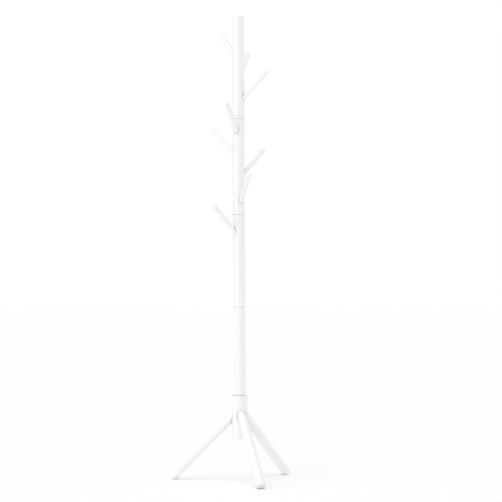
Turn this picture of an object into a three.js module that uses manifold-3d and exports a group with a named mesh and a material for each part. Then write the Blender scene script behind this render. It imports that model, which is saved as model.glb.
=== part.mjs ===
// A free-standing wooden coat tree: a straight round post of four screwed sections, eight round
// pegs set upwards in angled sockets, and a thicker hub that three round legs are bolted into.
// Millimetres, +Z up. The origin is on the floor, under the middle of the object's box.
// Angles round the post are in degrees from the front (-Y), towards the right (+X).

import * as THREE from 'three';
import { mergeVertices } from 'three/addons/utils/BufferGeometryUtils.js';
import Module from 'manifold-3d';

const wasm = await Module();
wasm.setup();

// ---------------------------------------------------------------- driving dimensions

const CLEARANCE = 0.3;              // free gap between any two pieces that seat together

// Post. Lengths run from the hub upwards.
const POST_DIAMETER = 45;
const SECTION_LENGTHS = [332, 348, 362, 387];
const SECTION_EDGE = 1;             // small round on both ends of a section, seen as a fine groove
const CROWN_EDGE = 3;               // larger round on the very top

// Hub
const HUB_DIAMETER = 60;
const HUB_HEIGHT = 162;
const HUB_EDGE = 1.5;

// Legs
const LEG_DIAMETER = 34;
const LEG_TILT = 45;                // from the vertical
const LEG_REACH = 262;              // post axis to the middle of a leg's outer end, level
const LEG_MEET_ABOVE_HUB_FOOT = 112; // where the three leg axes cross inside the hub
const LEG_EDGE = 1.2;
const LEG_SOCKET_PLAY = 0.6;
const LEG_WEB = 2.4;                // wood left between two neighbouring leg sockets
const LEGS = [
  { name: 'front', angle: 17 },
  { name: 'right', angle: 137 },
  { name: 'left', angle: -103 },
];

// Feet: the lowest corner of each leg is trimmed level and carries a stuck-on pad.
const FOOT_TRIM = 6;                // height taken off the corner
const PAD_THICKNESS = 2.5;
const PAD_INSET = 1;                // pad edge inside the edge of the trimmed face

// Pegs. A peg is placed by where its axis leaves the post, from one end of its section.
const PEG_DIAMETER = 18;
const PEG_TILT = 45;                // from the vertical
const PEG_SHOWN = 134;              // post surface to tip, along the peg's axis
const PEG_SEAT_DEPTH = 18;          // post surface to socket floor, along the peg's axis
const PEG_TIP_ROUND = 6;
const PEG_HEEL_EDGE = 0.6;
const PEG_SOCKET_PLAY = 0.4;
const PEGS = [
  { section: 3, from: 'top', distance: 141, angle: -142 },
  { section: 3, from: 'top', distance: 221, angle: 162 },
  { section: 3, from: 'bottom', distance: 80, angle: 66 },
  { section: 2, from: 'top', distance: 43, angle: -23 },
  { section: 2, from: 'top', distance: 125, angle: -112 },
  { section: 2, from: 'bottom', distance: 157, angle: 124 },
  { section: 2, from: 'bottom', distance: 54, angle: 21 },
  { section: 1, from: 'top', distance: 62, angle: -53 },
];

// Hardware hidden in the wood
const STUD_DIAMETER = 10;
const STUD_GRIP = 22;               // length of joint stud on each side of a joint
const INSERT_WALL = 2.5;
const INSERT_LENGTH = 14;
const INSERT_SINK = 1;              // insert's rim below the end face
const LEG_BOLT_DIAMETER = 8;
const LEG_BOLT_GRIP = 40;           // length of bolt held in the leg
const LEG_INSERT_LENGTH = 12;
const LEG_INSERT_WALL = 2;
const PEG_SCREW_DIAMETER = 6;
const PEG_SCREW_GRIP = 16;          // length of screw on each side of the socket floor
const HARDWARE_EDGE = 0.8;
const HOLE_END_SPARE = 1;           // empty depth past the end of a screw, bolt or stud

// Facets round each kind of round piece, and along a rounded edge
const POST_SIDES = 36;
const LEG_SIDES = 28;
const PEG_SIDES = 20;
const HARDWARE_SIDES = 10;
const PAD_SIDES = 8;
const EDGE_STEPS = 1;
const TIP_STEPS = 3;

const RUN_OUT = 40;                 // how far a cutting tool runs out of the wood
const TRIM_SLAB_SHARE = 4;          // side of the slab that trims a foot, in leg diameters

// ---------------------------------------------------------------- worked-out places

const radians = THREE.MathUtils.degToRad;
const postRadius = POST_DIAMETER / 2;
const hubRadius = HUB_DIAMETER / 2;
const legRadius = LEG_DIAMETER / 2;
const pegRadius = PEG_DIAMETER / 2;
const legTilt = radians(LEG_TILT);
const pegTilt = radians(PEG_TILT);

// The trimmed face lies on the pad; the leg's end, square to the leg, is centred above it.
const trimmedFaceHeight = PAD_THICKNESS + CLEARANCE;
const legEndHeight = trimmedFaceHeight - FOOT_TRIM + legRadius * Math.sin(legTilt);
const legMeetHeight = legEndHeight + LEG_REACH / Math.tan(legTilt);
const hubFoot = legMeetHeight - LEG_MEET_ABOVE_HUB_FOOT;
const hubTop = hubFoot + HUB_HEIGHT;

// Height of every joint in the post: hub to section 0, then between the sections, then the top.
const jointHeights = [hubTop];
for (const length of SECTION_LENGTHS) jointHeights.push(jointHeights.at(-1) + length);

// Leg sockets run in towards the axis until the web between neighbours is LEG_WEB thick.
const legSocketRadius = legRadius + LEG_SOCKET_PLAY;
const halfTurnBetweenLegs = Math.PI / LEGS.length;
const legSocketSpread = Math.hypot(
  Math.cos(legTilt) * Math.sin(halfTurnBetweenLegs),
  Math.cos(halfTurnBetweenLegs),
);
const legSocketFloor = (legSocketRadius * legSocketSpread + LEG_WEB / 2)
  / (Math.sin(legTilt) * Math.sin(halfTurnBetweenLegs));
const legEnd = LEG_REACH / Math.sin(legTilt);

// Peg places along the peg's own axis, from the post's axis.
const pegSurface = postRadius / Math.sin(pegTilt);
const pegSocketFloor = pegSurface - PEG_SEAT_DEPTH;
const pegTip = pegSurface + PEG_SHOWN;

// ---------------------------------------------------------------- finishes

const wood = new THREE.MeshStandardMaterial({ color: 0xf4f3ef, roughness: 0.42, metalness: 0 });
const steel = new THREE.MeshStandardMaterial({ color: 0xb9bcc0, roughness: 0.35, metalness: 1 });
const alloy = new THREE.MeshStandardMaterial({ color: 0xc9b27a, roughness: 0.4, metalness: 1 });
const rubber = new THREE.MeshStandardMaterial({ color: 0xd6d5d2, roughness: 0.85, metalness: 0 });

// ---------------------------------------------------------------- shaping tools

// A round bar along Z, with a rounded edge at each end.
function bar({ radius, from, to, startEdge = 0, endEdge = 0, steps = EDGE_STEPS, sides }) {
  const profile = [new THREE.Vector2(0, from)];
  const addEdge = (edge, centreZ, startAngle) => {
    const count = edge > 0 ? steps : 0;
    for (let i = 0; i <= count; i++) {
      const angle = startAngle + (count ? (i / count) * (Math.PI / 2) : 0);
      const x = radius - edge + edge * Math.cos(angle);
      profile.push(new THREE.Vector2(x, centreZ + edge * Math.sin(angle)));
    }
  };
  addEdge(startEdge, from + startEdge, -Math.PI / 2);
  addEdge(endEdge, to - endEdge, 0);
  profile.push(new THREE.Vector2(0, to));
  return new THREE.LatheGeometry(profile, sides).rotateX(Math.PI / 2);
}

// A round sleeve along Z with a plain bore.
function sleeve({ outer, inner, from, to, sides }) {
  const profile = [
    new THREE.Vector2(inner, from),
    new THREE.Vector2(outer, from),
    new THREE.Vector2(outer, to),
    new THREE.Vector2(inner, to),
    new THREE.Vector2(inner, from),
  ];
  return new THREE.LatheGeometry(profile, sides).rotateX(Math.PI / 2);
}

// The closed solid of a three.js geometry, with shared corners merged.
function solidOf(geometry) {
  const bare = geometry.clone();
  bare.deleteAttribute('normal');
  bare.deleteAttribute('uv');
  const merged = mergeVertices(bare);
  const corners = merged.index.array;
  const triangles = [];
  for (let i = 0; i < corners.length; i += 3) {
    const [a, b, c] = corners.slice(i, i + 3);
    if (a !== b && b !== c && c !== a) triangles.push(a, b, c);
  }
  return new wasm.Manifold(new wasm.Mesh({
    numProp: 3,
    vertProperties: new Float32Array(merged.attributes.position.array),
    triVerts: new Uint32Array(triangles),
  }));
}

// A blank with every tool cut out of it. Each tool is a geometry, already in its place.
function cut(blank, tools) {
  let solid = solidOf(blank);
  for (const tool of tools) solid = solid.subtract(solidOf(tool));
  const mesh = solid.getMesh();
  const geometry = new THREE.BufferGeometry();
  geometry.setAttribute('position', new THREE.BufferAttribute(new Float32Array(mesh.vertProperties), 3));
  geometry.setIndex(new THREE.BufferAttribute(new Uint32Array(mesh.triVerts), 1));
  const faceted = geometry.toNonIndexed();
  faceted.computeVertexNormals();
  return faceted;
}

// Stands a piece's own Z axis on the post's axis at a height, leaning towards an angle.
function leaning(angle, tilt, height) {
  return new THREE.Matrix4().makeTranslation(0, 0, height)
    .multiply(new THREE.Matrix4().makeRotationZ(radians(angle)))
    .multiply(new THREE.Matrix4().makeRotationX(tilt));
}

const legPlace = (leg, height) => leaning(leg.angle, Math.PI - legTilt, height);
const pegPlace = (peg, height) => leaning(peg.angle, pegTilt, height);

function piece(name, geometry, material, place = new THREE.Matrix4()) {
  const mesh = new THREE.Mesh(geometry, material);
  mesh.name = name;
  mesh.applyMatrix4(place);
  return mesh;
}

// ---------------------------------------------------------------- joint hardware

const studHoleRadius = STUD_DIAMETER / 2 + CLEARANCE;
const insertOuter = studHoleRadius + INSERT_WALL;

// Bore in the foot of a section for the fixed half of its stud.
function studBore(endHeight) {
  return bar({
    radius: studHoleRadius, from: endHeight - RUN_OUT,
    to: endHeight + STUD_GRIP + HOLE_END_SPARE, sides: HARDWARE_SIDES,
  });
}

// Stepped bore in a top end: wide for the threaded insert, then narrow for the stud's tip.
function insertBores(endHeight) {
  const wide = bar({
    radius: insertOuter + CLEARANCE, from: endHeight - INSERT_SINK - INSERT_LENGTH - CLEARANCE,
    to: endHeight + RUN_OUT, sides: HARDWARE_SIDES,
  });
  const narrow = bar({
    radius: studHoleRadius, from: endHeight - STUD_GRIP - HOLE_END_SPARE,
    to: endHeight + RUN_OUT, sides: HARDWARE_SIDES,
  });
  return [wide, narrow];
}

function jointHardware(number, height) {
  const stud = bar({
    radius: STUD_DIAMETER / 2, from: height - STUD_GRIP, to: height + STUD_GRIP,
    startEdge: HARDWARE_EDGE, endEdge: HARDWARE_EDGE, sides: HARDWARE_SIDES,
  });
  const insert = sleeve({
    outer: insertOuter, inner: studHoleRadius,
    from: height - INSERT_SINK - INSERT_LENGTH, to: height - INSERT_SINK, sides: HARDWARE_SIDES,
  });
  return [
    piece(`joint_stud_${number}`, stud, steel),
    piece(`joint_insert_${number}`, insert, alloy),
  ];
}

// ---------------------------------------------------------------- pegs

// Height at which a peg's axis crosses the post's axis.
function pegHeight(peg) {
  const surfaceHeight = peg.from === 'top'
    ? jointHeights[peg.section + 1] - peg.distance
    : jointHeights[peg.section] + peg.distance;
  return surfaceHeight - postRadius / Math.tan(pegTilt);
}

const pegHeel = pegSocketFloor + CLEARANCE;
const pegScrewRadius = PEG_SCREW_DIAMETER / 2;

// Cutters for one peg's socket and for the screw hole past its floor.
function pegSocketTools(peg) {
  const place = pegPlace(peg, pegHeight(peg));
  const socket = bar({
    radius: pegRadius + PEG_SOCKET_PLAY, from: pegSocketFloor, to: pegTip + RUN_OUT, sides: PEG_SIDES,
  });
  const pilot = bar({
    radius: pegScrewRadius + CLEARANCE, from: pegSocketFloor - PEG_SCREW_GRIP - HOLE_END_SPARE,
    to: pegTip, sides: HARDWARE_SIDES,
  });
  return [socket.applyMatrix4(place), pilot.applyMatrix4(place)];
}

function pegParts() {
  const blank = bar({
    radius: pegRadius, from: pegHeel, to: pegTip,
    startEdge: PEG_HEEL_EDGE, endEdge: PEG_TIP_ROUND, steps: TIP_STEPS, sides: PEG_SIDES,
  });
  const screwHole = bar({
    radius: pegScrewRadius + CLEARANCE, from: pegHeel - RUN_OUT,
    to: pegSocketFloor + PEG_SCREW_GRIP + HOLE_END_SPARE, sides: HARDWARE_SIDES,
  });
  const shaft = cut(blank, [screwHole]);
  const screw = bar({
    radius: pegScrewRadius, from: pegSocketFloor - PEG_SCREW_GRIP, to: pegSocketFloor + PEG_SCREW_GRIP,
    startEdge: HARDWARE_EDGE, endEdge: HARDWARE_EDGE, sides: HARDWARE_SIDES,
  });
  return PEGS.flatMap((peg, index) => {
    const place = pegPlace(peg, pegHeight(peg));
    return [
      piece(`peg_${index + 1}`, shaft, wood, place),
      piece(`peg_screw_${index + 1}`, screw, steel, place),
    ];
  });
}

// ---------------------------------------------------------------- post

function postSection(index) {
  const foot = jointHeights[index] + CLEARANCE;
  const top = jointHeights[index + 1];
  const isTopmost = index === SECTION_LENGTHS.length - 1;
  const blank = bar({
    radius: postRadius, from: foot, to: top,
    startEdge: SECTION_EDGE, endEdge: isTopmost ? CROWN_EDGE : SECTION_EDGE, sides: POST_SIDES,
  });
  const sockets = PEGS.filter((peg) => peg.section === index).flatMap(pegSocketTools);
  const bores = isTopmost ? [studBore(foot)] : [studBore(foot), ...insertBores(top)];
  return piece(`post_section_${index + 1}`, cut(blank, [...sockets, ...bores]), wood);
}

function postParts() {
  const sections = SECTION_LENGTHS.map((_, index) => postSection(index));
  const hardware = SECTION_LENGTHS.flatMap((_, index) => jointHardware(index + 1, jointHeights[index]));
  return [...sections, ...hardware];
}

// ---------------------------------------------------------------- hub and legs

const legBoltRadius = LEG_BOLT_DIAMETER / 2;
const legInsertOuter = legBoltRadius + CLEARANCE + LEG_INSERT_WALL;
const legHeel = legSocketFloor + CLEARANCE;
const legBoltTip = legSocketFloor - LEG_INSERT_LENGTH;

function legSocketTools(leg) {
  const place = legPlace(leg, legMeetHeight);
  const socket = bar({
    radius: legSocketRadius, from: legSocketFloor,
    to: hubRadius / Math.sin(legTilt) + RUN_OUT, sides: LEG_SIDES,
  });
  const insertHole = bar({
    radius: legInsertOuter + CLEARANCE, from: legSocketFloor - LEG_INSERT_LENGTH - CLEARANCE,
    to: legEnd, sides: HARDWARE_SIDES,
  });
  return [socket.applyMatrix4(place), insertHole.applyMatrix4(place)];
}

function hub() {
  const blank = bar({
    radius: hubRadius, from: hubFoot, to: hubTop, startEdge: HUB_EDGE, endEdge: HUB_EDGE, sides: POST_SIDES,
  });
  return piece('hub', cut(blank, [...LEGS.flatMap(legSocketTools), ...insertBores(hubTop)]), wood);
}

// The slab whose top face trims the leg's lowest corner level, in the leg's own frame.
function trimTool() {
  const size = TRIM_SLAB_SHARE * LEG_DIAMETER;
  const slab = new THREE.BoxGeometry(size, size, size)
    .translate(0, -LEG_REACH, trimmedFaceHeight - size / 2);
  return slab.applyMatrix4(leaning(0, Math.PI - legTilt, legMeetHeight).invert());
}

function legShaft() {
  const blank = bar({
    radius: legRadius, from: legHeel, to: legEnd, startEdge: LEG_EDGE, endEdge: LEG_EDGE, sides: LEG_SIDES,
  });
  const boltHole = bar({
    radius: legBoltRadius + CLEARANCE, from: legHeel - RUN_OUT,
    to: legSocketFloor + LEG_BOLT_GRIP + HOLE_END_SPARE, sides: HARDWARE_SIDES,
  });
  return cut(blank, [boltHole, trimTool()]);
}

// The trimmed face is a slice of an ellipse: the leg's own section on a level plane, as far out
// as the plane of the leg's end. The pad has the same outline, set in by PAD_INSET.
function footPad() {
  const centreReach = LEG_REACH + (legEndHeight - trimmedFaceHeight) * Math.tan(legTilt);
  const alongReach = legRadius / Math.cos(legTilt) - PAD_INSET;
  const across = legRadius - PAD_INSET;
  const outerEdge = LEG_REACH - legRadius * Math.cos(legTilt) + FOOT_TRIM / Math.tan(legTilt) - PAD_INSET;
  const halfAngle = Math.acos((centreReach - outerEdge) / alongReach);
  const outline = new THREE.Shape();
  outline.absellipse(0, -centreReach, across, alongReach, Math.PI / 2 - halfAngle, Math.PI / 2 + halfAngle);
  return new THREE.ExtrudeGeometry(outline, {
    depth: PAD_THICKNESS, bevelEnabled: false, curveSegments: PAD_SIDES,
  });
}

function legParts() {
  const shaft = legShaft();
  const pad = footPad();
  const bolt = bar({
    radius: legBoltRadius, from: legBoltTip, to: legSocketFloor + LEG_BOLT_GRIP,
    startEdge: HARDWARE_EDGE, endEdge: HARDWARE_EDGE, sides: HARDWARE_SIDES,
  });
  const insert = sleeve({
    outer: legInsertOuter, inner: legBoltRadius + CLEARANCE,
    from: legSocketFloor - LEG_INSERT_LENGTH, to: legSocketFloor - CLEARANCE, sides: HARDWARE_SIDES,
  });
  return LEGS.flatMap((leg) => {
    const place = legPlace(leg, legMeetHeight);
    return [
      piece(`leg_${leg.name}`, shaft, wood, place),
      piece(`leg_bolt_${leg.name}`, bolt, steel, place),
      piece(`leg_insert_${leg.name}`, insert, alloy, place),
      piece(`foot_pad_${leg.name}`, pad, rubber, new THREE.Matrix4().makeRotationZ(radians(leg.angle))),
    ];
  });
}

// ---------------------------------------------------------------- the coat tree

const coatTree = new THREE.Group();
coatTree.add(hub(), ...postParts(), ...pegParts(), ...legParts());

// Stand the tree on the floor with its box centred over the origin.
const box = new THREE.Box3().setFromObject(coatTree, true);
const middle = box.getCenter(new THREE.Vector3());
coatTree.position.set(-middle.x, -middle.y, -box.min.z);

export default coatTree;
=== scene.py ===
"""A free-standing coat tree in white lacquered wood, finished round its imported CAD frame.

Every wooden piece is turned, bored and rounded here on the axis its CAD node stands on, the
hidden screws and inserts get real threads, and each surface gets a procedural finish.
Metres, +Z up, in the frame's own coordinates.
"""

from __future__ import annotations

import logging
import math
from dataclasses import dataclass, field
from enum import Enum

import bmesh
import bpy
import numpy as np
from mathutils import Matrix, Vector


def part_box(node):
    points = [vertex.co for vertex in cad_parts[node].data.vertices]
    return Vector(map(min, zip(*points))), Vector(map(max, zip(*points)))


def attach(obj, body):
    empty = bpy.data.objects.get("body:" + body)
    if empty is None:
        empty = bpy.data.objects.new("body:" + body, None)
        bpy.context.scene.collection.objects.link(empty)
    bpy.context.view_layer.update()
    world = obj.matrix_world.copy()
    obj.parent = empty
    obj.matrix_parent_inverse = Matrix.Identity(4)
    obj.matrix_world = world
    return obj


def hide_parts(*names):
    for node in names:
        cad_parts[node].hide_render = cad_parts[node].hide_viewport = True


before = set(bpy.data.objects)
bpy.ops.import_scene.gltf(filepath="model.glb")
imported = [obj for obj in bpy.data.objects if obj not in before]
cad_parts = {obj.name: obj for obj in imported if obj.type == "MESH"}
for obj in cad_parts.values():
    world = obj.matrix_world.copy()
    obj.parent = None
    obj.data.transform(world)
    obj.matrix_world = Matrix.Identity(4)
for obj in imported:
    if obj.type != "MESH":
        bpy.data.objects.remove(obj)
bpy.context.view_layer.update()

log = logging.getLogger("coat_tree")

MM = 0.001
ROOT_BODY = "root"
FULL_TURN = 2 * math.pi
UP = Vector((0, 0, 1))
MERGE_DISTANCE = 0.002 * MM
PLACE_DECIMALS = 7  # of a metre, when a CAD node's shared corners are merged
SHARP_ANGLE = math.radians(40)
LEG_PLACES = ("front", "right", "left")


class Slot(Enum):
    """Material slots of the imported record."""

    WOOD = "white_wood"
    STEEL = "zinc_steel"
    INSERT = "insert_alloy"
    RUBBER = "foot_rubber"


# ------------------------------------------------------------------ places read from the frame


def node_points(node: str) -> np.ndarray:
    """Every corner of a CAD node.

    Args:
        node: name of the CAD node.

    Returns:
        An array of points, one row each, in metres.
    """
    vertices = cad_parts[node].data.vertices
    points = np.empty(len(vertices) * 3)
    vertices.foreach_get("co", points)
    return np.unique(points.reshape(-1, 3).round(PLACE_DECIMALS), axis=0)


@dataclass(frozen=True)
class Axis:
    """A straight line that round pieces stand on, with a base point and a direction."""

    base: Vector
    direction: Vector

    @staticmethod
    def of_rod(node: str, away_from: Vector) -> Axis:
        """Finds the long axis of a straight, even rod.

        Args:
            node: name of the rod's CAD node.
            away_from: a point that the axis is to point away from.

        Returns:
            The rod's axis, with the rod's middle as its base.
        """
        points = node_points(node)
        middle = points.mean(axis=0)
        long_way = np.linalg.svd(points - middle, full_matrices=False)[2][0]
        direction, base = Vector(long_way), Vector(middle)
        if direction.dot(base - away_from) < 0:
            direction.negate()
        return Axis(base, direction.normalized())

    def spread(self, node: str) -> tuple[np.ndarray, np.ndarray]:
        """How every corner of a CAD node lies by this axis.

        Args:
            node: name of a CAD node that stands on the axis.

        Returns:
            The corners' places along the axis, and their radii round it.
        """
        way = np.array(self.direction)
        offset = node_points(node) - np.array(self.base)
        along = offset @ way
        return along, np.linalg.norm(offset - np.outer(along, way), axis=1)

    def reach(self, node: str) -> tuple[float, float, float]:
        """How a CAD node lies along this axis.

        Args:
            node: name of a CAD node that stands on the axis.

        Returns:
            The lowest and highest place along the axis, and the largest radius round it.
        """
        along, radii = self.spread(node)
        return float(along.min()), float(along.max()), float(radii.max())

    def matrix(self) -> Matrix:
        """The transform from a piece's own frame, whose Z runs along this axis.

        Returns:
            The transform, with the frame's Y kept towards the ground or sky.
        """
        side = self.direction.cross(UP)
        side = side.normalized() if side.length > MM else Vector((1, 0, 0))
        turn = Matrix((side, self.direction.cross(side), self.direction)).transposed()
        return Matrix.Translation(self.base) @ turn.to_4x4()


def box_centre(node: str) -> Vector:
    """The middle of a CAD node's box."""
    low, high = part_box(node)
    return (low + high) / 2


def numbered(stem: str) -> list[str]:
    """The CAD nodes whose names are a stem and a number, in order."""
    names = [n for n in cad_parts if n.startswith(stem) and n[len(stem):].isdigit()]
    return sorted(names, key=lambda n: int(n[len(stem):]))


# ------------------------------------------------------------------ shaping with bmesh


def new_object(name: str, bm: bmesh.types.BMesh) -> bpy.types.Object:
    """Turns a bmesh into a linked object at the origin.

    Args:
        name: name of the object and its mesh.
        bm: the shape, which is freed.

    Returns:
        The new object.
    """
    mesh = bpy.data.meshes.new(name)
    bm.to_mesh(mesh)
    bm.free()
    piece = bpy.data.objects.new(name, mesh)
    bpy.context.scene.collection.objects.link(piece)
    return piece


def ring_edges(bm: bmesh.types.BMesh, height: float) -> list[bmesh.types.BMEdge]:
    """The edges that lie level at one height."""
    near = MERGE_DISTANCE
    return [e for e in bm.edges if all(abs(v.co.z - height) < near for v in e.verts)]


def round_edges(bm: bmesh.types.BMesh, edges: list[bmesh.types.BMEdge], size: float, steps: int) -> None:
    """Rounds edges over.

    Args:
        bm: the shape.
        edges: the edges to round.
        size: how far the round reaches from the edge.
        steps: how many faces the round has.
    """
    bmesh.ops.bevel(
        bm, geom=edges, offset=size, segments=steps, profile=0.5,
        affect="EDGES", clamp_overlap=True, material=-1,
    )


def round_bar(
    radius: float, low: float, high: float, low_round: float, high_round: float, sides: int, steps: int = 4
) -> bmesh.types.BMesh:
    """A round bar along Z with rounded ends.

    Args:
        radius: the bar's radius.
        low: height of its lower end.
        high: height of its upper end.
        low_round: radius of the lower edge, or 0 for a sharp one.
        high_round: radius of the upper edge, or 0 for a sharp one.
        sides: faces round the bar.
        steps: faces along each rounded edge.

    Returns:
        The bar as a closed bmesh.
    """
    bm = bmesh.new()
    bmesh.ops.create_cone(
        bm, cap_ends=True, cap_tris=False, segments=sides, radius1=radius, radius2=radius,
        depth=high - low, matrix=Matrix.Translation((0, 0, (low + high) / 2)),
    )
    for height, size in ((low, low_round), (high, high_round)):
        if size > 0:
            round_edges(bm, ring_edges(bm, height), size, steps)
    return bm


def close_ends(bm: bmesh.types.BMesh) -> None:
    """Fills every open loop and turns all faces outwards.

    Args:
        bm: the shape.
    """
    bmesh.ops.remove_doubles(bm, verts=bm.verts, dist=MERGE_DISTANCE)
    bmesh.ops.holes_fill(bm, edges=[e for e in bm.edges if e.is_boundary], sides=0)
    bmesh.ops.recalc_face_normals(bm, faces=bm.faces)


@dataclass(frozen=True)
class Thread:
    """A screw thread: its pitch, its depth, and the share of the pitch that each flat takes.

    The helix starts lead_in pitches below its lower trim, and has spare_turns more turns than show.
    """

    pitch: float
    depth: float
    crest: float = 0.12
    root: float = 0.12
    sides: int = 28
    lead_in: float = 1.5
    spare_turns: int = 3

    def helix(self, radius: float, low: float, high: float, inward: bool) -> bmesh.types.BMesh:
        """A threaded tube without ends, wound as one helix and trimmed level.

        Args:
            radius: the crest's radius, or the root's where the thread points inwards.
            low: height of the lower trim.
            high: height of the upper trim.
            inward: true for the thread of a nut.

        Returns:
            The open tube.
        """
        far = radius - self.depth
        crest_radius, root_radius = (far, radius) if inward else (radius, far)
        slope = (1 - self.crest - self.root) / 2 * self.pitch
        height = low - self.lead_in * self.pitch
        profile = []
        for at_radius, share in ((crest_radius, self.crest), (root_radius, self.root)):
            profile.append((at_radius, height))
            height += share * self.pitch
            profile.append((at_radius, height))
            height += slope
        profile.append((profile[0][0], height))
        bm = bmesh.new()
        line = [bm.verts.new((x, 0, z)) for x, z in profile]
        edges = [bm.edges.new(pair) for pair in zip(line, line[1:])]
        turns = math.ceil((high - low) / self.pitch) + self.spare_turns
        bmesh.ops.spin(
            bm, geom=line + edges, cent=(0, 0, 0), axis=(0, 0, 1), dvec=(0, 0, self.pitch / self.sides),
            angle=FULL_TURN * turns, steps=self.sides * turns, use_merge=False, use_duplicate=False,
        )
        bmesh.ops.remove_doubles(bm, verts=bm.verts, dist=MERGE_DISTANCE)
        for at, away in ((low, -1), (high, 1)):
            everything = bm.verts[:] + bm.edges[:] + bm.faces[:]
            bmesh.ops.bisect_plane(
                bm, geom=everything, dist=0, plane_co=(0, 0, at), plane_no=(0, 0, away), clear_outer=True
            )
        return bm


def join_into(bm: bmesh.types.BMesh, other: bmesh.types.BMesh) -> None:
    """Adds one shape to another.

    Args:
        bm: the shape that grows.
        other: the shape that is added, which is freed.
    """
    carrier = bpy.data.meshes.new("carrier")
    other.to_mesh(carrier)
    other.free()
    bm.from_mesh(carrier)
    bpy.data.meshes.remove(carrier)


def bridge_level(bm: bmesh.types.BMesh, height: float) -> None:
    """Joins the two open rings at one height with a band of faces."""
    rim = [e for e in ring_edges(bm, height) if e.is_boundary]
    bmesh.ops.bridge_loops(bm, edges=rim)


# ------------------------------------------------------------------ finishes


@dataclass
class NodeSheet:
    """A material's node tree, with short ways to add and link nodes."""

    name: str
    material: bpy.types.Material = field(init=False)
    shader: bpy.types.Node = field(init=False)

    def __post_init__(self) -> None:
        """Makes the material with its one shader."""
        self.material = bpy.data.materials.new(self.name)
        self.material.use_nodes = True
        self.shader = self.material.node_tree.nodes["Principled BSDF"]

    def add(self, kind: str, **settings: object) -> bpy.types.Node:
        """Adds a node.

        Args:
            kind: the node's type, without its ShaderNode prefix.
            settings: values for its own attributes, or for its inputs by name with _ for a space.

        Returns:
            The new node.
        """
        node = self.material.node_tree.nodes.new("ShaderNode" + kind)
        for key, value in settings.items():
            if hasattr(node, key):
                setattr(node, key, value)
            else:
                node.inputs[key.replace("_", " ")].default_value = value
        return node

    def link(self, source: bpy.types.NodeSocket, target: bpy.types.NodeSocket) -> None:
        """Links an output to an input."""
        self.material.node_tree.links.new(source, target)

    def own_frame(self, place: Matrix) -> bpy.types.NodeSocket:
        """Object coordinates turned into a piece's own frame, with Z along the piece.

        Args:
            place: the transform that put the piece in its place.

        Returns:
            The socket that carries the coordinates.
        """
        coordinates = self.add("TexCoord")
        own = self.add("Mapping", vector_type="TEXTURE")
        own.inputs["Location"].default_value = place.translation
        own.inputs["Rotation"].default_value = place.to_euler("XYZ")
        self.link(coordinates.outputs["Object"], own.inputs["Vector"])
        return own.outputs["Vector"]

    def stretched(self, vector: bpy.types.NodeSocket, scale: Vector, shift: Vector) -> bpy.types.NodeSocket:
        """Coordinates scaled, then shifted.

        Args:
            vector: the coordinates.
            scale: the scale along each axis.
            shift: the shift along each axis.

        Returns:
            The new coordinates' socket.
        """
        mapping = self.add("Mapping", vector_type="POINT")
        mapping.inputs["Scale"].default_value = scale
        mapping.inputs["Location"].default_value = shift
        self.link(vector, mapping.inputs["Vector"])
        return mapping.outputs["Vector"]

    def noise(self, vector: bpy.types.NodeSocket, scale: float, detail: float = 2.0) -> bpy.types.NodeSocket:
        """A noise pattern.

        Args:
            vector: the coordinates that it reads.
            scale: how many of its grains fit in a metre, roughly.
            detail: how many finer patterns are laid over it.

        Returns:
            The socket of its value, from 0 to 1.
        """
        noise = self.add("TexNoise", Scale=scale, Detail=detail)
        self.link(vector, noise.inputs["Vector"])
        return noise.outputs["Fac"]

    def mapped(
        self, value: bpy.types.NodeSocket, start: tuple[float, float], end: tuple[float, float] = (0, 1)
    ) -> bpy.types.NodeSocket:
        """A value mapped from one range to another, and kept inside it.

        Args:
            value: the value.
            start: the range that it comes from.
            end: the range that it is brought to.

        Returns:
            The mapped value's socket.
        """
        mapped = self.add("MapRange", clamp=True)
        names = ("From Min", "From Max", "To Min", "To Max")
        for name, number in zip(names, (*start, *end)):
            mapped.inputs[name].default_value = number
        self.link(value, mapped.inputs["Value"])
        return mapped.outputs["Result"]

    def summed(
        self, values: tuple[bpy.types.NodeSocket, ...], weights: tuple[float, ...]
    ) -> bpy.types.NodeSocket:
        """Values added up, each with its own weight.

        Args:
            values: the values.
            weights: a weight for each of them.

        Returns:
            The sum's socket.
        """
        total = None
        for value, weight in zip(values, weights):
            term = self.add("Math", operation="MULTIPLY_ADD")
            term.inputs[1].default_value = weight
            self.link(value, term.inputs[0])
            if total is None:
                term.inputs[2].default_value = 0
            else:
                self.link(total, term.inputs[2])
            total = term.outputs[0]
        return total

    def blended(
        self, factor: bpy.types.NodeSocket, first: bpy.types.NodeSocket | tuple, second: tuple
    ) -> bpy.types.NodeSocket:
        """Two colours mixed by a factor.

        Args:
            factor: 0 for the first, 1 for the second.
            first: a colour or a socket that carries one.
            second: a colour.

        Returns:
            The mixed colour's socket.
        """
        mix = self.add("Mix", data_type="RGBA")
        self.link(factor, mix.inputs["Factor"])
        if isinstance(first, tuple):
            mix.inputs["A"].default_value = (*first, 1)
        else:
            self.link(first, mix.inputs["A"])
        mix.inputs["B"].default_value = (*second, 1)
        return mix.outputs["Result"]

    def bump(self, height: bpy.types.NodeSocket, distance: float, strength: float = 1.0) -> None:
        """Gives the shader's normal a relief.

        Args:
            height: the relief, from 0 to 1.
            distance: how far 1 stands out, in metres.
            strength: how strongly it shows.
        """
        bump = self.add("Bump", Distance=distance, Strength=strength)
        self.link(height, bump.inputs["Height"])
        self.link(bump.outputs["Normal"], self.shader.inputs["Normal"])

    def settle(self, **values: object) -> bpy.types.Material:
        """Sets even values on the shader's own sockets.

        Args:
            values: the values, by the socket's name with _ for a space.

        Returns:
            The finished material.
        """
        for key, value in values.items():
            self.shader.inputs[key.replace("_", " ")].default_value = value
        return self.material


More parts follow.
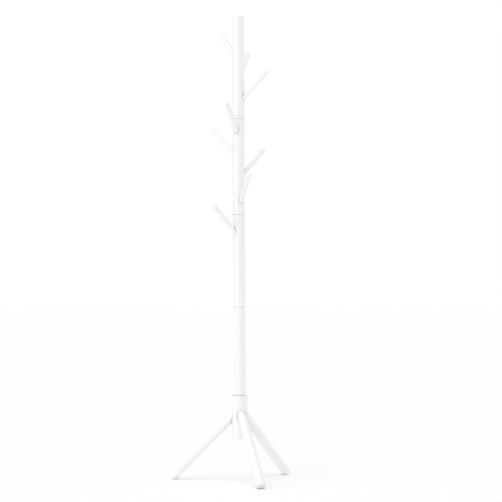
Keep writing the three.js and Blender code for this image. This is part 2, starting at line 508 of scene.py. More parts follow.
@dataclass(frozen=True)
class LacqueredWood:
    """Opaque satin white lacquer on fine-grained wood, whose grain still shows as faint relief.

    The rings are centred beside the piece's own axis, by heart. A band is the stretch of a pattern's
    values that its effect is spread over. Mixes are weights: of rings, fibres, pores and orange
    peel in the relief, of clouds, rings and fibres in the colour, and of clouds, orange peel and
    pores in the roughness.
    """

    film: tuple = (0.885, 0.88, 0.863)
    thick_film: tuple = (0.912, 0.909, 0.897)
    # painted shade: the colour that ambient occlusion lays into creases, sockets and joint lines
    painted_crease_shade: tuple = (0.66, 0.65, 0.62)
    edge_tint: tuple = (0.87, 0.852, 0.81)
    # a darker tone for the end faces, those that look along the piece's axis
    end_face_tone: tuple = (0.84, 0.832, 0.81)
    heart: tuple = (0.043, 0.017)
    grain_stretch: float = 0.035
    ring_scale: float = 62.0
    ring_wander: float = 3.5
    ring_detail: float = 2.0
    ring_detail_scale: float = 0.6
    fibre_scale: float = 950.0
    fibre_detail: float = 3.0
    pore_scale: float = 1900.0
    pore_band: tuple = (0.62, 0.72)
    peel_scale: float = 210.0
    cloud_scale: float = 28.0
    cloud_stretch: float = 0.4
    relief_mix: tuple = (0.2, 0.35, -0.45, 0.55)
    relief: float = 0.09 * MM
    tone_mix: tuple = (0.6, 0.2, 0.2)
    tone_band: tuple = (0.3, 0.7)
    rough_mix: tuple = (0.5, 0.3, 0.2)
    rough_band: tuple = (0.25, 0.75)
    roughness: tuple = (0.3, 0.46)
    coat: float = 0.3
    coat_roughness: float = 0.16
    refraction: float = 1.49
    end_band: tuple = (0.93, 0.985)
    # reach, samples and band of the painted crease shade
    painted_shade_reach: float = 6 * MM
    painted_shade_samples: int = 8
    painted_shade_band: tuple = (0.35, 0.85)
    proud_band: tuple = (0.56, 0.66)
    proud_share: float = 0.5

    def on(self, name: str, place: Matrix, seed: float) -> bpy.types.Material:
        """Makes the finish for one piece.

        Args:
            name: the piece's name.
            place: the piece's place, whose Z axis the grain follows.
            seed: shifts the grain, so that no two pieces match.

        Returns:
            The material.
        """
        sheet = NodeSheet(f"lacquer_{name}")
        own = sheet.own_frame(place)
        along = sheet.stretched(own, Vector((1, 1, self.grain_stretch)), Vector((*self.heart, seed)))
        wave = sheet.add(
            "TexWave", wave_type="RINGS", rings_direction="Z", Scale=self.ring_scale,
            Distortion=self.ring_wander, Detail=self.ring_detail, Detail_Scale=self.ring_detail_scale,
        )
        sheet.link(along, wave.inputs["Vector"])
        rings = wave.outputs["Fac"]
        fibres = sheet.noise(along, self.fibre_scale, self.fibre_detail)
        pores = sheet.mapped(sheet.noise(along, self.pore_scale), self.pore_band)
        peel = sheet.noise(sheet.stretched(own, Vector((1, 1, 1)), Vector((seed, 0, 0))), self.peel_scale)
        drawn_out = sheet.stretched(own, Vector((1, 1, self.cloud_stretch)), Vector((0, seed, 0)))
        clouds = sheet.noise(drawn_out, self.cloud_scale)
        sheet.bump(sheet.summed((rings, fibres, pores, peel), self.relief_mix), self.relief)
        tone = sheet.summed((clouds, rings, fibres), self.tone_mix)
        colour = sheet.blended(sheet.mapped(tone, self.tone_band), self.film, self.thick_film)
        colour = self.edges(sheet, self.ends(sheet, colour, place))
        sheet.link(colour, sheet.shader.inputs["Base Color"])
        rough = sheet.summed((clouds, peel, pores), self.rough_mix)
        sheet.link(sheet.mapped(rough, self.rough_band, self.roughness), sheet.shader.inputs["Roughness"])
        return sheet.settle(Coat_Weight=self.coat, Coat_Roughness=self.coat_roughness, IOR=self.refraction)

    def ends(self, sheet: NodeSheet, colour: bpy.types.NodeSocket, place: Matrix) -> bpy.types.NodeSocket:
        """Darkens the end faces, those that look along the piece's axis.

        Args:
            sheet: the material in the making.
            colour: the colour so far.
            place: the piece's place, whose Z axis the grain follows.

        Returns:
            The dulled colour's socket.
        """
        geometry = sheet.add("NewGeometry")
        facing = sheet.add("VectorMath", operation="DOT_PRODUCT")
        sheet.link(geometry.outputs["Normal"], facing.inputs[0])
        facing.inputs[1].default_value = place.col[2].xyz
        square = sheet.add("Math", operation="ABSOLUTE")
        sheet.link(facing.outputs["Value"], square.inputs[0])
        return sheet.blended(sheet.mapped(square.outputs[0], self.end_band), colour, self.end_face_tone)

    def edges(self, sheet: NodeSheet, colour: bpy.types.NodeSocket) -> bpy.types.NodeSocket:
        """Paints shade into creases and joint lines by ambient occlusion, and tints proud edges, where the
        film is thin.

        Args:
            sheet: the material in the making.
            colour: the colour so far.

        Returns:
            The tinted colour's socket.
        """
        # painted shade: creases and joint lines darken where ambient occlusion finds nearby surfaces
        shade = sheet.add("AmbientOcclusion", samples=self.painted_shade_samples, Distance=self.painted_shade_reach)
        painted_crease_mask = sheet.mapped(shade.outputs["AO"], self.painted_shade_band, (1, 0))
        colour = sheet.blended(painted_crease_mask, colour, self.painted_crease_shade)
        geometry = sheet.add("NewGeometry")
        proud = sheet.mapped(geometry.outputs["Pointiness"], self.proud_band, (0, self.proud_share))
        return sheet.blended(proud, colour, self.edge_tint)


@dataclass(frozen=True)
class PlatedMetal:
    """Plated screw metal with turning marks and a little dulling.

    The roughness is mixed from the dull blooms and the turning marks.
    """

    bright: tuple
    dull: tuple
    roughness: tuple = (0.2, 0.42)
    mark_scale: float = 2600.0
    mark_stretch: float = 0.04
    mark_relief: float = 0.03 * MM
    mark_strength: float = 0.6
    bloom_scale: float = 320.0
    bloom_detail: float = 3.0
    bloom_band: tuple = (0.4, 0.65)
    rough_mix: tuple = (0.6, 0.4)
    rough_band: tuple = (0.3, 0.7)

    def on(self, name: str, place: Matrix, seed: float) -> bpy.types.Material:
        """Makes the finish for one piece.

        Args:
            name: the piece's name.
            place: the piece's place, whose Z axis the turning marks run round.
            seed: shifts the marks, so that no two pieces match.

        Returns:
            The material.
        """
        sheet = NodeSheet(f"plating_{name}")
        own = sheet.own_frame(place)
        level = sheet.stretched(own, Vector((self.mark_stretch, self.mark_stretch, 1)), Vector((0, 0, seed)))
        marks = sheet.noise(level, self.mark_scale)
        shifted = sheet.stretched(own, Vector((1, 1, 1)), Vector((seed, seed, 0)))
        blooms = sheet.noise(shifted, self.bloom_scale, self.bloom_detail)
        colour = sheet.blended(sheet.mapped(blooms, self.bloom_band), self.bright, self.dull)
        sheet.link(colour, sheet.shader.inputs["Base Color"])
        rough = sheet.summed((blooms, marks), self.rough_mix)
        sheet.link(sheet.mapped(rough, self.rough_band, self.roughness), sheet.shader.inputs["Roughness"])
        sheet.bump(marks, self.mark_relief, self.mark_strength)
        return sheet.settle(Metallic=1.0)


@dataclass(frozen=True)
class FootRubber:
    """Matt grey rubber with a fine moulded grain and scuffs, which its relief is mixed from."""

    base: tuple = (0.74, 0.735, 0.715)
    scuffed: tuple = (0.82, 0.815, 0.795)
    roughness: tuple = (0.72, 0.9)
    grain_scale: float = 2400.0
    scuff_scale: float = 420.0
    scuff_detail: float = 4.0
    scuff_stretch: float = 0.3
    scuff_band: tuple = (0.5, 0.72)
    scuff_share: float = 0.7
    rough_band: tuple = (0.3, 0.7)
    relief_mix: tuple = (0.6, 0.4)
    relief: float = 0.12 * MM
    refraction: float = 1.45

    def on(self, name: str, place: Matrix, seed: float) -> bpy.types.Material:
        """Makes the finish for one pad.

        Args:
            name: the pad's name.
            place: the pad's place.
            seed: shifts the scuffs, so that no two pads match.

        Returns:
            The material.
        """
        sheet = NodeSheet(f"rubber_{name}")
        own = sheet.own_frame(place)
        grain = sheet.noise(own, self.grain_scale)
        drawn_out = sheet.stretched(own, Vector((1, self.scuff_stretch, 1)), Vector((seed, 0, 0)))
        scuffs = sheet.noise(drawn_out, self.scuff_scale, self.scuff_detail)
        worn = sheet.mapped(scuffs, self.scuff_band, (0, self.scuff_share))
        sheet.link(sheet.blended(worn, self.base, self.scuffed), sheet.shader.inputs["Base Color"])
        sheet.link(sheet.mapped(scuffs, self.rough_band, self.roughness), sheet.shader.inputs["Roughness"])
        sheet.bump(sheet.summed((grain, scuffs), self.relief_mix), self.relief)
        return sheet.settle(IOR=self.refraction)


LACQUER = LacqueredWood()
ZINC = PlatedMetal((0.66, 0.67, 0.7), (0.48, 0.49, 0.51))
YELLOW_ZINC = PlatedMetal((0.74, 0.62, 0.36), (0.55, 0.45, 0.26), (0.25, 0.5))
RUBBER = FootRubber()


# ------------------------------------------------------------------ cutting and handing over


@dataclass
class Carver:
    """Cuts tools out of a piece with exact booleans, then applies the result."""

    blank: bpy.types.Object
    tools: list[bpy.types.Object] = field(default_factory=list)

    def add(self, hole: Socket | Bore) -> None:
        """Adds the cutting tool of one hole.

        Args:
            hole: the hole that is to be cut.
        """
        bm = hole.tool()
        bmesh.ops.transform(bm, matrix=hole.axis.matrix(), verts=bm.verts)
        bmesh.ops.recalc_face_normals(bm, faces=bm.faces)
        if bm.calc_volume(signed=True) < 0:
            bmesh.ops.reverse_faces(bm, faces=bm.faces)
        self.tools.append(new_object(f"{self.blank.name}_tool", bm))

    def carve(self) -> None:
        """Cuts every tool and leaves a plain, clean mesh."""
        for tool in self.tools:
            cut = self.blank.modifiers.new("cut", "BOOLEAN")
            cut.operation = "DIFFERENCE"
            cut.solver = "EXACT"
            cut.object = tool
        bpy.context.view_layer.update()
        whole = self.blank.evaluated_get(bpy.context.evaluated_depsgraph_get())
        mesh = bpy.data.meshes.new_from_object(whole)
        self.blank.modifiers.clear()
        old = self.blank.data
        self.blank.data = mesh
        bpy.data.meshes.remove(old)
        for tool in self.tools:
            bpy.data.meshes.remove(tool.data)
        mesh.name = self.blank.name


def hand_over(
    piece: bpy.types.Object, node: str, finish: LacqueredWood | PlatedMetal | FootRubber,
    place: Matrix, seed: float,
) -> None:
    """Smooths, finishes and registers a piece that stands for a CAD node.

    Args:
        piece: the finished shape, in its place.
        node: the CAD node that it replaces.
        finish: the surface finish.
        place: the piece's own frame, for the finish.
        seed: shifts the finish's pattern.
    """
    mesh = piece.data
    bm = bmesh.new()
    bm.from_mesh(mesh)
    bmesh.ops.remove_doubles(bm, verts=bm.verts, dist=MERGE_DISTANCE)
    bmesh.ops.dissolve_degenerate(bm, edges=bm.edges, dist=MERGE_DISTANCE)
    for edge in bm.edges:
        edge.smooth = edge.is_manifold and edge.calc_face_angle(0) < SHARP_ANGLE
    for face in bm.faces:
        face.smooth = True
    bm.to_mesh(mesh)
    bm.free()
    weighted = piece.modifiers.new("even_normals", "WEIGHTED_NORMAL")
    weighted.keep_sharp = True
    mesh.materials.clear()
    mesh.materials.append(finish.on(node, place, seed))
    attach(piece, ROOT_BODY)
    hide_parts(node)
    log.info("%s: %d faces", piece.name, len(mesh.polygons))


# ------------------------------------------------------------------ wooden pieces


@dataclass(frozen=True)
class Socket:
    """A round socket drilled at a slant into an upright round block, with its rim rounded over.

    The rim is a quarter arc from the bore to the block's side, of which rim_share is cut. It stops
    short of the side, so that the arc meets it at an edge and not in slivers.
    """

    axis: Axis
    radius: float
    floor: float
    rim: float
    block_centre: Vector
    block_radius: float
    sides: int = 72
    rim_steps: int = 7
    rim_share: float = 0.86
    least_step: float = 0.03 * MM

    def tool(self) -> bmesh.types.BMesh:
        """The cutter: a bar up to the rim, then rings that flare out along the block's round side.

        Each ring of the flare is as wide as its part of the rim's arc, and every one of its
        corners slides along the socket's axis until it is as deep under the block's side as that arc.

        Returns:
            The cutter in the socket's own frame.
        """
        bm = bmesh.new()
        bmesh.ops.create_circle(
            bm, cap_ends=True, segments=self.sides, radius=self.radius,
            matrix=Matrix.Translation((0, 0, self.floor)),
        )
        ring = bm.edges[:]
        for step in range(self.rim_steps + 1):
            angle = math.pi / 2 * self.rim_share * step / self.rim_steps
            wide = self.radius + self.rim * (1 - math.cos(angle))
            under = self.rim * (1 - math.sin(angle))
            ring = self.next_ring(bm, ring, wide, self.block_radius - under)
        flare = self.rim * (1 - math.cos(math.pi / 2 * self.rim_share))
        ring = self.next_ring(bm, ring, self.radius + flare + self.rim, self.block_radius + self.rim / 2)
        past_all = max(v.co.z for v in bm.verts) + self.rim
        grown = bmesh.ops.extrude_edge_only(bm, edges=ring)["geom"]
        for vertex in (g for g in grown if isinstance(g, bmesh.types.BMVert)):
            vertex.co.z = past_all
        bmesh.ops.holes_fill(bm, edges=[e for e in bm.edges if e.is_boundary], sides=0)
        return bm

    def next_ring(
        self, bm: bmesh.types.BMesh, ring: list[bmesh.types.BMEdge], wide: float, side_radius: float
    ) -> list[bmesh.types.BMEdge]:
        """Extrudes one more ring.

        Args:
            bm: the cutter so far.
            ring: its last ring of edges.
            wide: radius of the new ring round the socket's axis.
            side_radius: how far its corners are from the block's upright axis.

        Returns:
            The new ring's edges.
        """
        grown = bmesh.ops.extrude_edge_only(bm, edges=ring)["geom"]
        to_world = self.axis.matrix()
        for vertex in (g for g in grown if isinstance(g, bmesh.types.BMVert)):
            flat = vertex.co.xy.normalized() * wide
            foot = to_world @ Vector((flat.x, flat.y, 0)) - self.block_centre
            out = max(self.way_out(foot, side_radius), vertex.co.z + self.least_step)
            vertex.co = Vector((flat.x, flat.y, out))
        return [g for g in grown if isinstance(g, bmesh.types.BMEdge) and len(g.link_faces) == 1]

    def way_out(self, foot: Vector, side_radius: float) -> float:
        """How far along the socket's axis a line leaves an upright cylinder.

        Args:
            foot: a point on the line, from the block's axis.
            side_radius: the cylinder's radius.

        Returns:
            The distance from foot.
        """
        way = self.axis.direction
        a = way.xy.length_squared
        b = foot.xy.dot(way.xy)
        c = foot.xy.length_squared - side_radius**2
        return (-b + math.sqrt(max(b * b - a * c, 0))) / a


@dataclass(frozen=True)
class Bore:
    """A plain round hole, such as one for a screw."""

    axis: Axis
    radius: float
    low: float
    high: float
    sides: int = 32

    def tool(self) -> bmesh.types.BMesh:
        """The cutter, a plain bar."""
        return round_bar(self.radius, self.low, self.high, 0, 0, self.sides)


@dataclass
class Woodwork:
    """What every wooden piece shares: the play that seated pieces are given, and edge sizes."""

    play: float = 0.3 * MM
    past_end: float = 1 * MM
    run_out: float = 30 * MM
    sides: int = 112
    edge_steps: int = 5

    def turned(
        self, axis: Axis, radius: float, ends: tuple[float, float], rounds: tuple[float, float]
    ) -> bmesh.types.BMesh:
        """A round bar in its place, with rounded ends.

        Args:
            axis: the bar's axis.
            radius: the bar's radius.
            ends: the places of its low and high end along the axis.
            rounds: radius of the edge at each end.

        Returns:
            The bar.
        """
        bm = round_bar(radius, *ends, *rounds, self.sides, self.edge_steps)
        bmesh.ops.transform(bm, matrix=axis.matrix(), verts=bm.verts)
        return bm

    def bore_for(self, node: str, axis: Axis, extra_low: float, extra_high: float) -> Bore:
        """The hole that a hidden screw, stud or insert sits in.

        Args:
            node: the hardware's CAD node.
            axis: its axis.
            extra_low: how far the hole runs on past its lower end.
            extra_high: how far it runs on past its upper end.

        Returns:
            The hole.
        """
        low, high, radius = axis.reach(node)
        return Bore(axis, radius + self.play, low - extra_low, high + extra_high)


@dataclass
class Pegs(Woodwork):
    """The round pegs, each on the axis of its own screw."""

    post_axis_point: Vector = field(default_factory=lambda: box_centre("post_section_1"))
    tip_round: float = 6.5 * MM
    heel_round: float = 0.6 * MM
    sides: int = 72
    edge_steps: int = 8
    grain_step: float = 0.37

    def names(self) -> list[str]:
        """The pegs' CAD nodes, from the top down."""
        return numbered("peg_")

    def axis(self, peg: str) -> Axis:
        """A peg's axis, pointing outwards and up, based on the post's axis.

        Args:
            peg: the peg's CAD node.

        Returns:
            The axis.
        """
        screw = peg.replace("peg_", "peg_screw_")
        upright = Vector((self.post_axis_point.x, self.post_axis_point.y, box_centre(peg).z))
        found = Axis.of_rod(screw, upright)
        direction = found.direction if found.direction.z > 0 else -found.direction
        back = (found.base - upright).xy.dot(direction.xy) / direction.xy.length_squared
        return Axis(found.base - direction * back, direction)

    def build(self) -> None:
        """Turns every peg and drills it for its screw."""
        for number, peg in enumerate(self.names(), start=1):
            axis = self.axis(peg)
            low, high, radius = axis.reach(peg)
            blank = self.turned(axis, radius, (low, high), (self.heel_round, self.tip_round))
            carver = Carver(new_object(f"{peg}_wood", blank))
            carver.add(self.bore_for(f"peg_screw_{number}", axis, self.run_out, self.past_end))
            carver.carve()
            seed = self.grain_step * number
            hand_over(carver.blank, peg, LACQUER, axis.matrix(), seed)


@dataclass
class Post(Woodwork):
    """The four stacked sections of the post, with a slanted socket for every peg."""

    pegs: Pegs = field(default_factory=Pegs)
    end_round: float = 1.3 * MM
    crown_round: float = 3 * MM
    socket_play: float = 0.4 * MM
    socket_rim: float = 1.7 * MM
    grain_start: float = 1.3
    grain_step: float = 0.71

    def build(self) -> None:
        """Turns, bores and finishes the sections."""
        names = numbered("post_section_")
        for number, section in enumerate(names, start=1):
            low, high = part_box(section)
            centre = box_centre(section)
            axis = Axis(Vector((centre.x, centre.y, 0)), UP)
            radius = (high.x - low.x) / 2
            crown = self.crown_round if section == names[-1] else self.end_round
            blank = self.turned(axis, radius, (low.z, high.z), (self.end_round, crown))
            carver = Carver(new_object(f"{section}_wood", blank))
            self.cut_joints(carver, axis, number, number < len(names))
            self.cut_sockets(carver, centre, radius, low.z, high.z)
            carver.carve()
            seed = self.grain_start + self.grain_step * number
            hand_over(carver.blank, section, LACQUER, axis.matrix(), seed)

    def cut_joints(self, carver: Carver, axis: Axis, number: int, has_next: bool) -> None:
        """Adds the bores for the stud below, and for the insert and the next stud above.

        Args:
            carver: the section's carver.
            axis: the post's axis.
            number: the section's number, from 1 at the hub.
            has_next: whether another section stands on this one.
        """
        carver.add(self.bore_for(f"joint_stud_{number}", axis, self.run_out, self.past_end))
        if has_next:
            carver.add(self.bore_for(f"joint_stud_{number + 1}", axis, self.past_end, self.run_out))
            carver.add(self.bore_for(f"joint_insert_{number + 1}", axis, self.play, self.run_out))

    def cut_sockets(self, carver: Carver, centre: Vector, radius: float, low: float, high: float) -> None:
        """Adds the sockets and screw holes of the pegs that leave this section.

        Args:
            carver: the section's carver.
            centre: the middle of the section.
            radius: its radius.
            low: height of its lower end.
            high: height of its upper end.
        """
        for number, peg in enumerate(self.pegs.names(), start=1):
            axis = self.pegs.axis(peg)
            heel, _, peg_radius = axis.reach(peg)
            socket = Socket(
                axis, peg_radius + self.socket_play, heel - self.play, self.socket_rim,
                Vector((centre.x, centre.y, 0)), radius,
            )
            way_out = socket.way_out(axis.base - socket.block_centre, radius)
            leaves_at = axis.base.z + way_out * axis.direction.z
            if low < leaves_at < high:
                carver.add(socket)
                carver.add(self.bore_for(f"peg_screw_{number}", axis, self.past_end, 0))


def leg_axis(place: str) -> Axis:
    """A leg's axis, pointing outwards and down, based on the hub's axis.

    Args:
        place: which leg.

    Returns:
        The axis.
    """
    centre = box_centre("hub")
    bolt = f"leg_bolt_{place}"
    found = Axis.of_rod(bolt, Vector((centre.x, centre.y, box_centre(bolt).z)))
    direction = found.direction if found.direction.z < 0 else -found.direction
    back = (found.base - centre).xy.dot(direction.xy) / direction.xy.length_squared
    return Axis(found.base - direction * back, direction)


@dataclass
class Hub(Woodwork):
    """The block that the post stands on and the legs plug into."""

    end_round: float = 1.6 * MM
    socket_play: float = 0.6 * MM
    socket_rim: float = 3.2 * MM
    sides: int = 128
    socket_sides: int = 96
    grain: float = 0.9

    def build(self) -> None:
        """Turns, bores and finishes the hub."""
        low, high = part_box("hub")
        centre = box_centre("hub")
        upright = Axis(Vector((centre.x, centre.y, 0)), UP)
        radius = (high.x - low.x) / 2
        blank = self.turned(upright, radius, (low.z, high.z), (self.end_round, self.end_round))
        carver = Carver(new_object("hub_wood", blank))
        carver.add(self.bore_for("joint_stud_1", upright, self.past_end, self.run_out))
        carver.add(self.bore_for("joint_insert_1", upright, self.play, self.run_out))
        for place in LEG_PLACES:
            axis = leg_axis(place)
            heel, _, leg_radius = axis.reach(f"leg_{place}")
            carver.add(Socket(
                axis, leg_radius + self.socket_play, heel - self.play, self.socket_rim,
                upright.base, radius, self.socket_sides,
            ))
            carver.add(self.bore_for(f"leg_insert_{place}", axis, self.play, self.past_end))
        carver.carve()
        hand_over(carver.blank, "hub", LACQUER, upright.matrix(), self.grain)


@dataclass
class Legs(Woodwork):
    """The three legs, each with its lowest corner trimmed level, and the pads stuck under them."""

    heel_round: float = 1 * MM
    end_round: float = 2.1 * MM
    pad_round: float = 0.7 * MM
    pad_round_steps: int = 3
    pad_rim: float = 1.2 * MM
    pad_hollow: float = 0.35 * MM
    level: float = math.cos(math.radians(8))
    sides: int = 96
    grain_start: float = 2.1
    grain_step: float = 0.53
    scuff_step: float = 0.4

    def build(self) -> None:
        """Turns the legs and moulds the pads."""
        for number, place in enumerate(LEG_PLACES, start=1):
            self.leg(place, self.grain_start + self.grain_step * number)
            self.pad(place, self.scuff_step * number)

    def leg(self, place: str, seed: float) -> None:
        """One leg: turned, trimmed level over its pad, and drilled for its bolt.

        Args:
            place: which leg.
            seed: shifts its grain.
        """
        node = f"leg_{place}"
        axis = leg_axis(place)
        low, high, radius = axis.reach(node)
        bm = self.turned(axis, radius, (low, high), (self.heel_round, self.end_round))
        floor_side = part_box(node)[0].z
        everything = bm.verts[:] + bm.edges[:] + bm.faces[:]
        trimmed = bmesh.ops.bisect_plane(
            bm, geom=everything, dist=MERGE_DISTANCE, plane_co=(0, 0, floor_side), plane_no=(0, 0, -1),
            clear_outer=True,
        )
        rim = [g for g in trimmed["geom_cut"] if isinstance(g, bmesh.types.BMEdge)]
        bmesh.ops.holes_fill(bm, edges=rim, sides=0)
        bmesh.ops.recalc_face_normals(bm, faces=bm.faces)
        carver = Carver(new_object(f"{node}_wood", bm))
        carver.add(self.bore_for(f"leg_bolt_{place}", axis, self.run_out, self.past_end))
        carver.carve()
        hand_over(carver.blank, node, LACQUER, axis.matrix(), seed)

    def pad(self, place: str, seed: float) -> None:
        """One pad: the leg's level outline, cut short at the leg's end, thickened and rounded.

        Args:
            place: which leg's pad.
            seed: shifts its scuffs.
        """
        node = f"foot_pad_{place}"
        axis = leg_axis(place)
        low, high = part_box(node)
        outwards = Vector((axis.direction.x, axis.direction.y, 0)).normalized()
        points = node_points(node)
        along = points @ np.array(outwards)
        across = points @ np.array(UP.cross(outwards))
        centre = axis.base + axis.direction * ((low.z - axis.base.z) / axis.direction.z)
        centre_reach = centre.dot(outwards)
        inner_reach = centre_reach - along.min()
        slope = math.hypot(*axis.direction.xy) / -axis.direction.z
        half_width = max(inner_reach / math.hypot(1, slope), (across.max() - across.min()) / 2)
        turn = Matrix.Rotation(math.atan2(outwards.y, outwards.x), 4, "Z")
        spot = Matrix.Translation((centre.x, centre.y, low.z)) @ turn
        bm = bmesh.new()
        bmesh.ops.create_circle(bm, cap_ends=True, segments=self.sides, radius=1)
        bmesh.ops.scale(bm, vec=(inner_reach, half_width, 1), verts=bm.verts)
        chord = along.max() - centre_reach
        everything = bm.verts[:] + bm.edges[:] + bm.faces[:]
        bmesh.ops.bisect_plane(
            bm, geom=everything, dist=MERGE_DISTANCE, plane_co=(chord, 0, 0), plane_no=(1, 0, 0),
            clear_outer=True,
        )
        thick = high.z - low.z
        raised = bmesh.ops.extrude_face_region(bm, geom=bm.faces[:])["geom"]
        top = [g for g in raised if isinstance(g, bmesh.types.BMVert)]
        bmesh.ops.translate(bm, vec=(0, 0, thick), verts=top)
        bmesh.ops.recalc_face_normals(bm, faces=bm.faces)
        round_edges(bm, ring_edges(bm, 0) + ring_edges(bm, thick), self.pad_round, self.pad_round_steps)
        sole = [f for f in bm.faces if f.normal.z < -self.level]
        bmesh.ops.inset_region(
            bm, faces=sole, thickness=self.pad_rim, depth=-self.pad_hollow, use_even_offset=True
        )
        bmesh.ops.transform(bm, matrix=spot, verts=bm.verts)
        bmesh.ops.recalc_face_normals(bm, faces=bm.faces)
        piece = new_object(f"{node}_rubber", bm)
        hand_over(piece, node, RUBBER, spot, seed)


# ------------------------------------------------------------------ hidden hardware


@dataclass
class Hardware:
    """Studs, bolts, screws and threaded inserts, sealed inside the wood.

    A rod's plain waist is waist_half long on each side of its middle, runs waist_overlap into both
    threads, and cuts waist_share of their depth. The other fields shift the finish from piece to piece.
    """

    machine: Thread = Thread(1.5 * MM, 0.8 * MM)
    fine: Thread = Thread(1.25 * MM, 0.7 * MM)
    coarse: Thread = Thread(2.6 * MM, 0.75 * MM, 0.06, 0.42)
    knife: Thread = Thread(3 * MM, 1.1 * MM, 0.05, 0.55)
    waist_half: float = 2 * MM
    waist_overlap: float = 0.5 * MM
    waist_round: float = 0.2 * MM
    waist_round_steps: int = 2
    waist_share: float = 0.9
    stud_step: float = 0.1
    joint_insert_step: float = 0.15
    screw_step: float = 0.2
    bolt_step: float = 0.25
    leg_insert_step: float = 0.3

    def build(self) -> None:
        """Makes every hidden piece on its own axis."""
        for number, stud in enumerate(numbered("joint_stud_"), start=1):
            upright = Axis(box_centre(stud), UP)
            self.rod(stud, upright, self.machine, self.machine, self.stud_step * number)
            self.insert(f"joint_insert_{number}", upright, self.machine, self.joint_insert_step * number)
        pegs = Pegs()
        for number, peg in enumerate(pegs.names(), start=1):
            axis = pegs.axis(peg)
            self.rod(f"peg_screw_{number}", axis, self.coarse, self.coarse, self.screw_step * number)
        for number, place in enumerate(LEG_PLACES, start=1):
            axis = leg_axis(place)
            self.rod(f"leg_bolt_{place}", axis, self.fine, self.coarse, self.bolt_step * number)
            self.insert(f"leg_insert_{place}", axis, self.fine, self.leg_insert_step * number)

    def rod(self, node: str, axis: Axis, low_thread: Thread, high_thread: Thread, seed: float) -> None:
        """A double-ended threaded rod with a plain waist.

        Args:
            node: the rod's CAD node.
            axis: its axis.
            low_thread: thread of its inner half.
            high_thread: thread of its outer half.
            seed: shifts its finish.
        """
        low, high, radius = axis.reach(node)
        middle = (low + high) / 2
        waist_low, waist_high = middle - self.waist_half, middle + self.waist_half
        waist_radius = radius - self.waist_share * low_thread.depth
        bm = low_thread.helix(radius, low, waist_low, False)
        join_into(bm, high_thread.helix(radius, waist_high, high, False))
        join_into(bm, self.waist(waist_radius, waist_low, waist_high, low_thread.sides))
        close_ends(bm)
        bmesh.ops.transform(bm, matrix=axis.matrix(), verts=bm.verts)
        piece = new_object(f"{node}_threaded", bm)
        hand_over(piece, node, ZINC, axis.matrix(), seed)

    def waist(self, radius: float, low: float, high: float, sides: int) -> bmesh.types.BMesh:
        """The plain shank between two threads, run a little into both.

        Args:
            radius: the shank's radius.
            low: where the lower thread ends.
            high: where the upper thread starts.
            sides: faces round the shank.

        Returns:
            The shank.
        """
        return round_bar(
            radius, low - self.waist_overlap, high + self.waist_overlap, self.waist_round,
            self.waist_round, sides, self.waist_round_steps,
        )

    def insert(self, node: str, axis: Axis, bore_thread: Thread, seed: float) -> None:
        """A threaded insert: a knife thread outside, a machine thread inside.

        Args:
            node: the insert's CAD node.
            axis: its axis.
            bore_thread: the thread of its bore.
            seed: shifts its finish.
        """
        low, high, radius = axis.reach(node)
        bore = float(axis.spread(node)[1].min())
        bm = self.knife.helix(radius, low, high, False)
        join_into(bm, bore_thread.helix(bore + bore_thread.depth / 2, low, high, True))
        for height in (low, high):
            bridge_level(bm, height)
        bmesh.ops.recalc_face_normals(bm, faces=bm.faces)
        bmesh.ops.transform(bm, matrix=axis.matrix(), verts=bm.verts)
        piece = new_object(f"{node}_threaded", bm)
        hand_over(piece, node, YELLOW_ZINC, axis.matrix(), seed)


# ------------------------------------------------------------------ studio


@dataclass(frozen=True)
class Lamp:
    """A soft light so far away that it lights everything evenly."""

    name: str
    towards: tuple[float, float, float]
    spread: float
    strength: float

    def hang(self) -> None:
        """Adds the light to the scene."""
        data = bpy.data.lights.new(self.name, "SUN")
        data.angle = self.spread
        data.energy = self.strength
        lamp = bpy.data.objects.new(self.name, data)
        bpy.context.scene.collection.objects.link(lamp)
        lamp.rotation_euler = (-Vector(self.towards)).to_track_quat("-Z", "Y").to_euler()


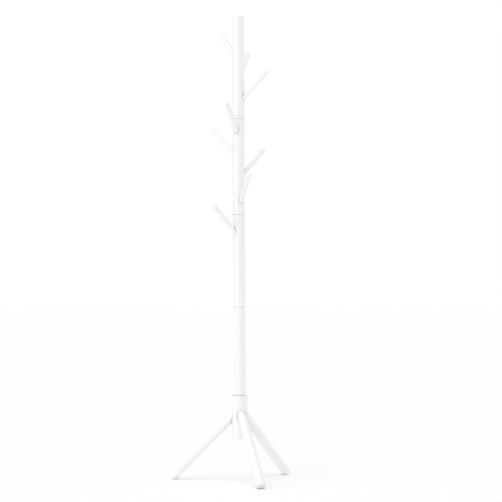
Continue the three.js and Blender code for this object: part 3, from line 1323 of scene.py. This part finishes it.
@dataclass
class Studio:
    """White floor, soft light and the camera."""

    distance: float = 6.0
    eye_height: float = 0.743
    turn: float = math.radians(0.429)
    tilt_up: float = math.radians(1.157)
    roll: float = math.radians(-0.25)
    lens: float = 114.1
    far_clip: float = 100.0
    floor_radius: float = 40.0
    floor_sides: int = 96
    floor_colour: tuple = (0.975, 0.975, 0.975, 1)
    floor_roughness: float = 0.8
    white: tuple = (1, 1, 1, 1)
    ambient: float = 0.735
    lamps: tuple[Lamp, ...] = (
        Lamp("overhead_panel", (-0.2, -0.35, 1), math.radians(60), 0.85),
        Lamp("key_panel", (-1, -0.8, 0.2), math.radians(50), 0.52),
        Lamp("side_panel", (1, 0.35, 0.15), math.radians(50), 0.32),
    )

    def build(self) -> None:
        """Sets up floor, surroundings, lamps and camera."""
        settings = bpy.context.scene.view_settings
        settings.view_transform = "Standard"
        settings.look = "None"
        self.floor()
        self.surroundings()
        for lamp in self.lamps:
            lamp.hang()
        self.camera()

    def floor(self) -> None:
        """A wide, round, pale floor, so large that its edge is lost in the white surroundings."""
        bm = bmesh.new()
        bmesh.ops.create_circle(bm, cap_ends=True, segments=self.floor_sides, radius=self.floor_radius)
        floor = new_object("studio_floor", bm)
        sheet = NodeSheet("studio_floor")
        paint = sheet.settle(Base_Color=self.floor_colour, Roughness=self.floor_roughness)
        floor.data.materials.append(paint)

    def surroundings(self) -> None:
        """White surroundings that light softly and look plain white behind the object."""
        world = bpy.data.worlds.new("white_studio")
        bpy.context.scene.world = world
        world.use_nodes = True
        tree = world.node_tree
        glow = tree.nodes["Background"]
        glow.inputs["Color"].default_value = self.white
        glow.inputs["Strength"].default_value = self.ambient
        seen = tree.nodes.new("ShaderNodeBackground")
        seen.inputs["Color"].default_value = self.white
        path = tree.nodes.new("ShaderNodeLightPath")
        mix = tree.nodes.new("ShaderNodeMixShader")
        tree.links.new(path.outputs["Is Camera Ray"], mix.inputs[0])
        tree.links.new(glow.outputs[0], mix.inputs[1])
        tree.links.new(seen.outputs[0], mix.inputs[2])
        tree.links.new(mix.outputs[0], tree.nodes["World Output"].inputs["Surface"])

    def camera(self) -> None:
        """A distant camera in front of the post, aimed a little up, with the whole object in frame."""
        post = box_centre("post_section_1")
        data = bpy.data.cameras.new("camera")
        data.lens = self.lens
        data.clip_end = self.far_clip
        camera = bpy.data.objects.new("camera", data)
        bpy.context.scene.collection.objects.link(camera)
        ahead = Vector((
            math.sin(self.turn) * math.cos(self.tilt_up), math.cos(self.turn) * math.cos(self.tilt_up),
            math.sin(self.tilt_up),
        ))
        right = Vector((math.cos(self.turn), -math.sin(self.turn), 0))
        above = right.cross(ahead)
        rolled_right = right * math.cos(self.roll) + above * math.sin(self.roll)
        rolled_above = above * math.cos(self.roll) - right * math.sin(self.roll)
        turn = Matrix((rolled_right, rolled_above, -ahead)).transposed()
        place = Matrix.Translation((post.x, post.y - self.distance, self.eye_height))
        camera.matrix_world = place @ turn.to_4x4()
        bpy.context.scene.camera = camera


def main() -> None:
    """Builds the studio, then the coat tree from the floor up."""
    logging.basicConfig(level=logging.INFO, format="%(name)s: %(message)s")
    Studio().build()
    Legs().build()
    Hub().build()
    Post().build()
    Pegs().build()
    Hardware().build()


if __name__ == "__main__":
    main()
